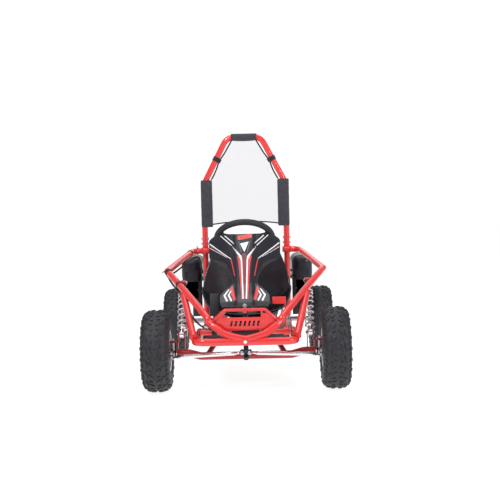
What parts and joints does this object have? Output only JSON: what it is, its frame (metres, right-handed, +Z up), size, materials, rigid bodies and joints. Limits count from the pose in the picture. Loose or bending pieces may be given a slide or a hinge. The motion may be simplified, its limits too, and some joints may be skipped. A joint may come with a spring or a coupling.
{
  "type": "off-road kart chassis",
  "caption": "Off-road kart with a red tube frame, steered front swing axle, chain-driven rear swing axle, bucket seat, fairing and roll hoop with a safety net.",
  "frame": {"origin": "on the ground, under the middle of the kart's bounding box", "axes": "+Z up; the kart faces -Y; +X is the driver's left"},
  "size_m": [0.86, 1.4399, 1.1035],
  "materials": {
    "frame_red": "gloss powder coat",
    "axle_red": "satin powder coat",
    "gloss_black": "gloss with printed stripes",
    "seat_black": "satin moulded",
    "matt_black": "matt",
    "black_metal": "black paint",
    "grip_black": "soft foam grip",
    "tyre_rubber": "moulded rubber",
    "chrome": "plated",
    "steel": "zinc plated",
    "aluminium": "cast, satin",
    "spring_white": "white paint",
    "net_fabric": "woven nylon and mesh"
  },
  "bodies": {
    "chassis": {"front_bumper": "frame_red", "lower_rail_left": "frame_red", "lower_rail_right": "frame_red", "upright_left": "frame_red", "upright_right": "frame_red", "side_bar_left": "frame_red", "side_bar_right": "frame_red", "suspension_cross_tube": "frame_red", "pedal_cross_tube": "frame_red", "front_bracket": "frame_red", "rear_frame": "frame_red", "rear_crash_bar": "frame_red", "roll_hoop": "frame_red", "floor_pan": "black_metal", "seat_mount": "steel", "safety_net": "net_fabric", "front_fairing": "gloss_black", "seat": "seat_black", "mudguard_left": "gloss_black", "mudguard_right": "gloss_black", "brake_master_cylinder": "aluminium", "throttle_cable": "matt_black", "battery_box": "matt_black"},
    "steering": {"steering_wheel": "grip_black", "steering_column": "black_metal"},
    "front_axle": {"front_axle": "axle_red"},
    "rod_end_left": {"rod_end_left": "steel"},
    "tie_rod_left": {"tie_rod_left": "chrome"},
    "rod_end_right": {"rod_end_right": "steel"},
    "tie_rod_right": {"tie_rod_right": "chrome"},
    "knuckle_left": {"steering_knuckle_left": "steel"},
    "front_wheel_left": {"rim_front_left": "aluminium", "tyre_front_left": "tyre_rubber"},
    "knuckle_right": {"steering_knuckle_right": "steel"},
    "front_wheel_right": {"rim_front_right": "aluminium", "tyre_front_right": "tyre_rubber"},
    "front_shock_bodies": {"shock_body_front_left": "steel", "shock_body_front_right": "steel", "shock_spring_front_left": "spring_white", "shock_spring_front_right": "spring_white"},
    "front_shock_rods": {"shock_rod_front_left": "chrome", "shock_rod_front_right": "chrome"},
    "rear_swingarm": {"rear_swingarm": "axle_red", "brake_caliper": "aluminium", "drive_chain": "steel", "drive_motor": "black_metal"},
    "rear_axle": {"rear_axle": "steel", "axle_sprocket": "steel", "brake_disc": "steel", "rim_rear_left": "aluminium", "rim_rear_right": "aluminium", "tyre_rear_left": "tyre_rubber", "tyre_rear_right": "tyre_rubber"},
    "motor_shaft": {"motor_sprocket": "steel"},
    "rear_shock_body": {"shock_body_rear": "steel", "shock_spring_rear": "spring_white"},
    "rear_shock_rod": {"shock_rod_rear": "chrome"},
    "brake_pedal": {"brake_pedal": "frame_red"},
    "throttle_pedal": {"throttle_pedal": "matt_black"}
  },
  "joints": [
    {"name": "steering_turn", "type": "hinge", "parent": "chassis", "child": "steering", "pos_m": [0, -0.24, 0.612], "axis": [0, 0.6157, 0.788], "range_deg": [-32, 32]},
    {"name": "rod_end_left_turn", "type": "hinge", "parent": "steering", "child": "rod_end_left", "pos_m": [0.015, -0.62859, 0.1731], "axis": [0, 0.6157, 0.788], "range_deg": [-33, 33]},
    {"name": "tie_rod_left_lift", "type": "hinge", "parent": "rod_end_left", "child": "tie_rod_left", "pos_m": [0.015, -0.62859, 0.1731], "axis": [0, -1, 0], "range_deg": [0, 8.2]},
    {"name": "rod_end_right_turn", "type": "hinge", "parent": "steering", "child": "rod_end_right", "pos_m": [-0.015, -0.62859, 0.1731], "axis": [0, 0.6157, 0.788], "range_deg": [-33, 33]},
    {"name": "tie_rod_right_lift", "type": "hinge", "parent": "rod_end_right", "child": "tie_rod_right", "pos_m": [-0.015, -0.62859, 0.1731], "axis": [0, 1, 0], "range_deg": [0, 8.2]},
    {"name": "front_axle_travel", "type": "hinge", "parent": "chassis", "child": "front_axle", "pos_m": [0, -0.18, 0.185], "axis": [-1, 0, 0], "range_deg": [0, 6], "stiffness_Nm_per_rad": 900, "springref_deg": -14.32},
    {"name": "knuckle_left_turn", "type": "hinge", "parent": "front_axle", "child": "knuckle_left", "pos_m": [0.3, -0.5, 0.1665], "axis": [0, 0, 1], "range_deg": [-22, 22]},
    {"name": "front_wheel_left_spin", "type": "hinge", "parent": "knuckle_left", "child": "front_wheel_left", "pos_m": [0.364, -0.5, 0.169], "axis": [1, 0, 0], "continuous": true},
    {"name": "knuckle_right_turn", "type": "hinge", "parent": "front_axle", "child": "knuckle_right", "pos_m": [-0.3, -0.5, 0.1665], "axis": [0, 0, 1], "range_deg": [-22, 22]},
    {"name": "front_wheel_right_spin", "type": "hinge", "parent": "knuckle_right", "child": "front_wheel_right", "pos_m": [-0.364, -0.5, 0.169], "axis": [1, 0, 0], "continuous": true},
    {"name": "front_shock_swing", "type": "hinge", "parent": "chassis", "child": "front_shock_bodies", "pos_m": [0, -0.345, 0.433], "axis": [-1, 0, 0], "range_deg": [0, 4.1]},
    {"name": "front_shock_stroke", "type": "slide", "parent": "front_shock_bodies", "child": "front_shock_rods", "axis": [0, 0.6118, 0.791], "range_m": [0, 0.0309], "deforming": ["shock_spring_front_left", "shock_spring_front_right"]},
    {"name": "rear_swingarm_travel", "type": "hinge", "parent": "chassis", "child": "rear_swingarm", "pos_m": [0, 0.262, 0.19], "axis": [1, 0, 0], "range_deg": [0, 7], "stiffness_Nm_per_rad": 900, "springref_deg": -14.32},
    {"name": "rear_axle_spin", "type": "hinge", "parent": "rear_swingarm", "child": "rear_axle", "pos_m": [0, 0.5, 0.169], "axis": [1, 0, 0], "continuous": true},
    {"name": "motor_shaft_spin", "type": "hinge", "parent": "rear_swingarm", "child": "motor_shaft", "pos_m": [0.1, 0.375, 0.25], "axis": [1, 0, 0], "continuous": true},
    {"name": "rear_shock_swing", "type": "hinge", "parent": "chassis", "child": "rear_shock_body", "pos_m": [0, 0.255, 0.43], "axis": [1, 0, 0], "range_deg": [0, 1.5]},
    {"name": "rear_shock_stroke", "type": "slide", "parent": "rear_shock_body", "child": "rear_shock_rod", "axis": [0, -0.5967, 0.8025], "range_m": [0, 0.0181], "deforming": ["shock_spring_rear"]},
    {"name": "brake_pedal_press", "type": "hinge", "parent": "chassis", "child": "brake_pedal", "pos_m": [0, -0.585, 0.25], "axis": [1, 0, 0], "range_deg": [0, 16], "stiffness_Nm_per_rad": 3, "springref_deg": -17.19},
    {"name": "throttle_pedal_press", "type": "hinge", "parent": "chassis", "child": "throttle_pedal", "pos_m": [0, -0.585, 0.25], "axis": [1, 0, 0], "range_deg": [0, 16], "stiffness_Nm_per_rad": 3, "springref_deg": -17.19}
  ],
  "couplings": [
    {"joint": "rod_end_left_turn", "follows": "steering_turn", "ratio": -1},
    {"joint": "tie_rod_left_lift", "follows": "front_axle_travel", "ratio": 1.2837},
    {"joint": "rod_end_right_turn", "follows": "steering_turn", "ratio": -1},
    {"joint": "tie_rod_right_lift", "follows": "front_axle_travel", "ratio": 1.2837},
    {"joint": "knuckle_left_turn", "follows": "steering_turn", "ratio": 0.6726},
    {"joint": "knuckle_right_turn", "follows": "steering_turn", "ratio": 0.6726},
    {"joint": "front_shock_swing", "follows": "front_axle_travel", "ratio": 0.6407},
    {"joint": "front_shock_stroke", "follows": "front_axle_travel", "m_per_rad": 0.2852},
    {"joint": "motor_shaft_spin", "follows": "rear_axle_spin", "ratio": 3.5},
    {"joint": "rear_shock_swing", "follows": "rear_swingarm_travel", "ratio": 0.167},
    {"joint": "rear_shock_stroke", "follows": "rear_swingarm_travel", "m_per_rad": 0.13969}
  ]
}
